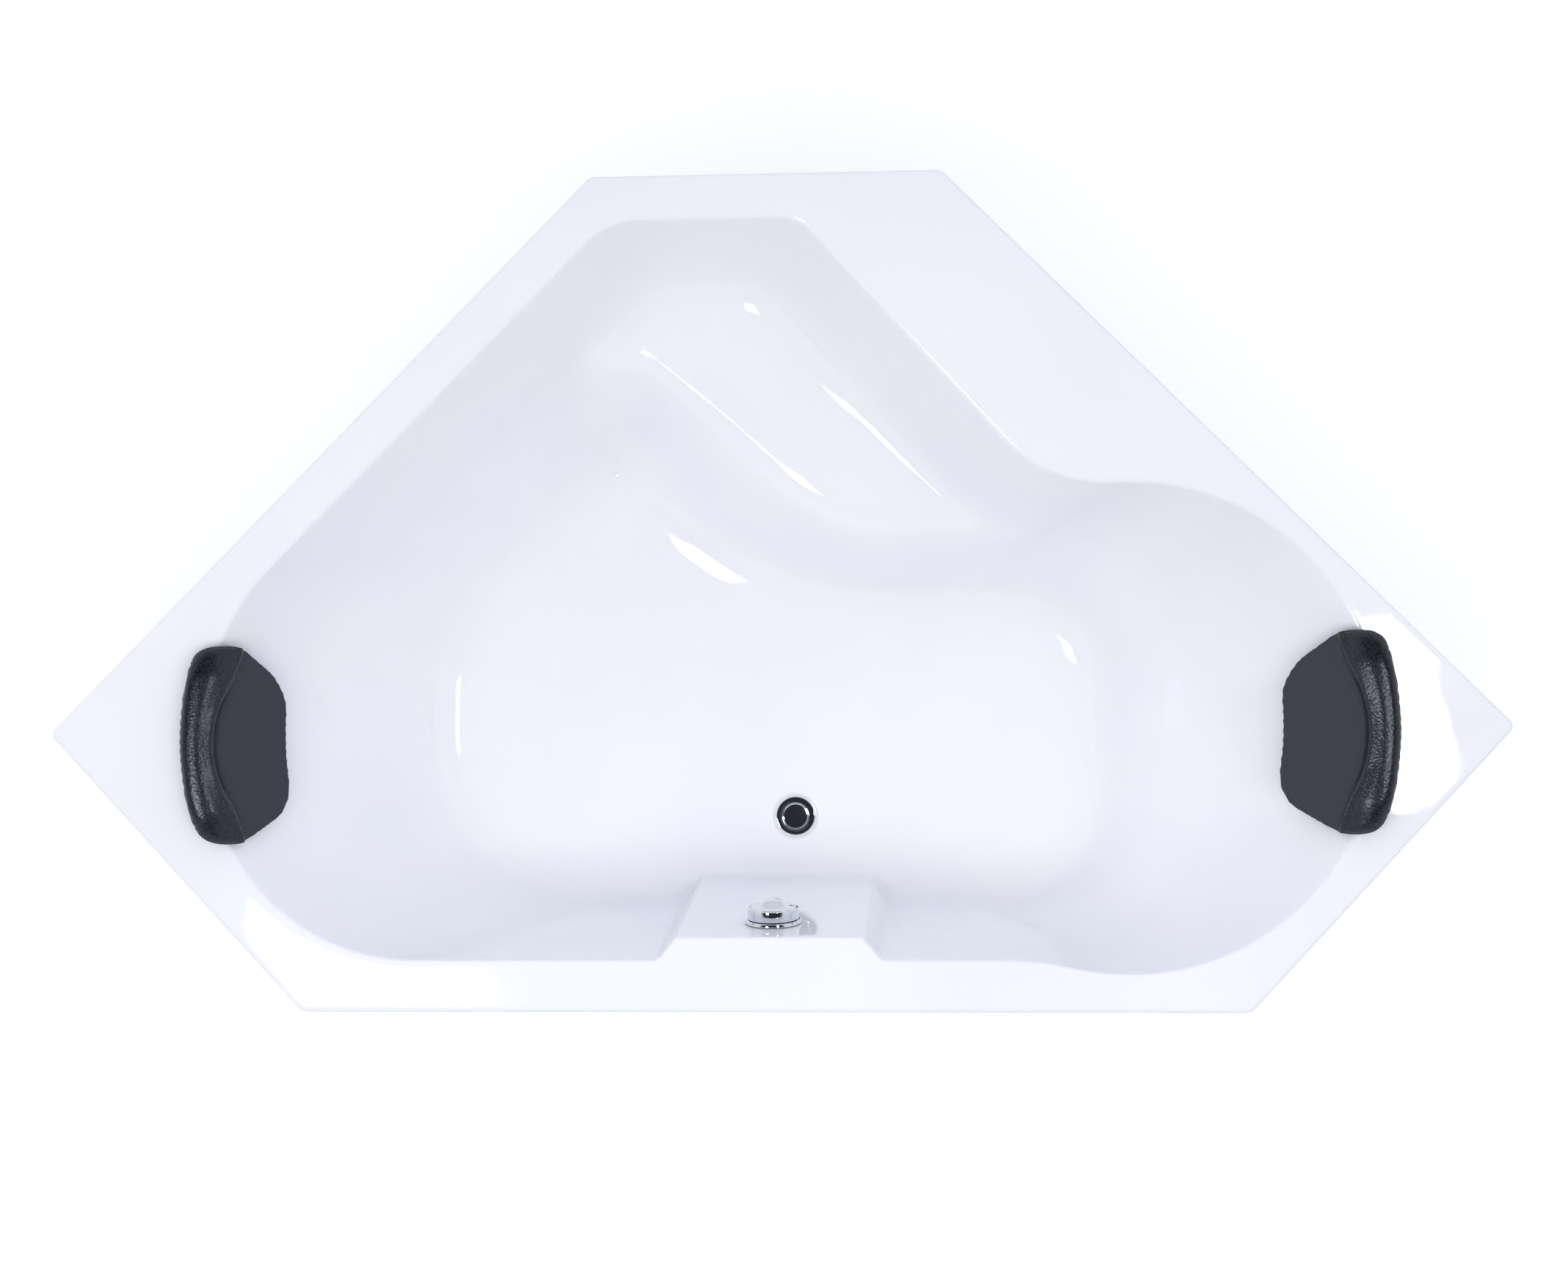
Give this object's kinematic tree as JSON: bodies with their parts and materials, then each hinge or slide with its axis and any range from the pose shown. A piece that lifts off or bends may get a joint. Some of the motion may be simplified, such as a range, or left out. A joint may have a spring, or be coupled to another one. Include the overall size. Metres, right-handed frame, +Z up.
{
  "type": "corner bathtub",
  "caption": "White six-sided corner bathtub with reclining ends, a corner seat, black headrests, a rotary overflow knob and a pop-up drain.",
  "frame": {"origin": "centre of the bounding box's footprint, on the floor under the levelling feet", "axes": "+X to the right end seen from the front edge, +Y from the long front edge towards the room corner, +Z up"},
  "size_m": [2.112, 1.2126, 0.624],
  "materials": {
    "white_acrylic": "gloss",
    "fibreglass": "rough",
    "chipboard": "matt",
    "galvanised_steel": "satin",
    "black_polyurethane": "fine grain, satin",
    "chrome": "polished",
    "stainless": "satin",
    "black_plastic": "matt",
    "white_plastic": "satin",
    "grey_hose": "satin",
    "sealing_rubber": "matt",
    "brass": "machined"
  },
  "bodies": {
    "tub": {"tub_shell": "white_acrylic", "fibreglass_backing": "fibreglass", "floor_board": "chipboard", "tip_board_left": "chipboard", "tip_board_right": "chipboard", "wall_batten_left": "chipboard", "wall_batten_right": "chipboard", "back_batten": "chipboard", "front_batten": "chipboard", "cross_rail_left": "galvanised_steel", "cross_rail_right": "galvanised_steel", "rail_screws": "galvanised_steel", "rim_post_left": "galvanised_steel", "rim_post_right": "galvanised_steel", "rim_post_back": "galvanised_steel", "post_screws": "galvanised_steel", "threaded_legs": "galvanised_steel", "lock_nuts": "galvanised_steel", "foot_pads": "black_plastic", "headrest_left": "black_polyurethane", "headrest_right": "black_polyurethane", "suction_cups_left": "sealing_rubber", "suction_cups_right": "sealing_rubber", "overflow_faceplate": "chrome", "overflow_gasket": "sealing_rubber", "overflow_body": "white_plastic", "overflow_screws": "stainless", "overflow_hose": "grey_hose", "hose_clips": "stainless", "bowden_cable": "black_plastic", "drain_flange": "chrome", "drain_upper_seal": "sealing_rubber", "drain_lower_seal": "sealing_rubber", "drain_body": "white_plastic", "lever_pin": "stainless", "trap_cup": "white_plastic", "trap_nut": "white_plastic", "outlet_nut": "white_plastic", "outlet_pipe": "white_plastic"},
    "knob": {"overflow_knob": "chrome", "knob_spindle": "stainless", "knob_screw": "stainless", "cable_cam": "white_plastic"},
    "plug": {"plug_cap": "chrome", "plug_stem": "brass", "plug_seal": "sealing_rubber"},
    "lever": {"lift_lever": "white_plastic"}
  },
  "joints": [
    {"name": "knob_turn", "type": "hinge", "parent": "tub", "child": "knob", "pos_m": [-0.002, -0.48593, 0.485], "axis": [0, -0.9929, -0.1191], "range_deg": [0, 90]},
    {"name": "plug_lift", "type": "slide", "parent": "tub", "child": "plug", "axis": [0, 0, 1], "range_m": [0, 0.008]},
    {"name": "lever_swing", "type": "hinge", "parent": "tub", "child": "lever", "pos_m": [0.04, -0.34933, 0.1047], "axis": [0, 1, 0], "range_deg": [0, 16.6]}
  ],
  "couplings": [
    {"joint": "plug_lift", "follows": "knob_turn", "m_per_rad": 0.005092},
    {"joint": "lever_swing", "follows": "knob_turn", "ratio": 0.1844}
  ]
}
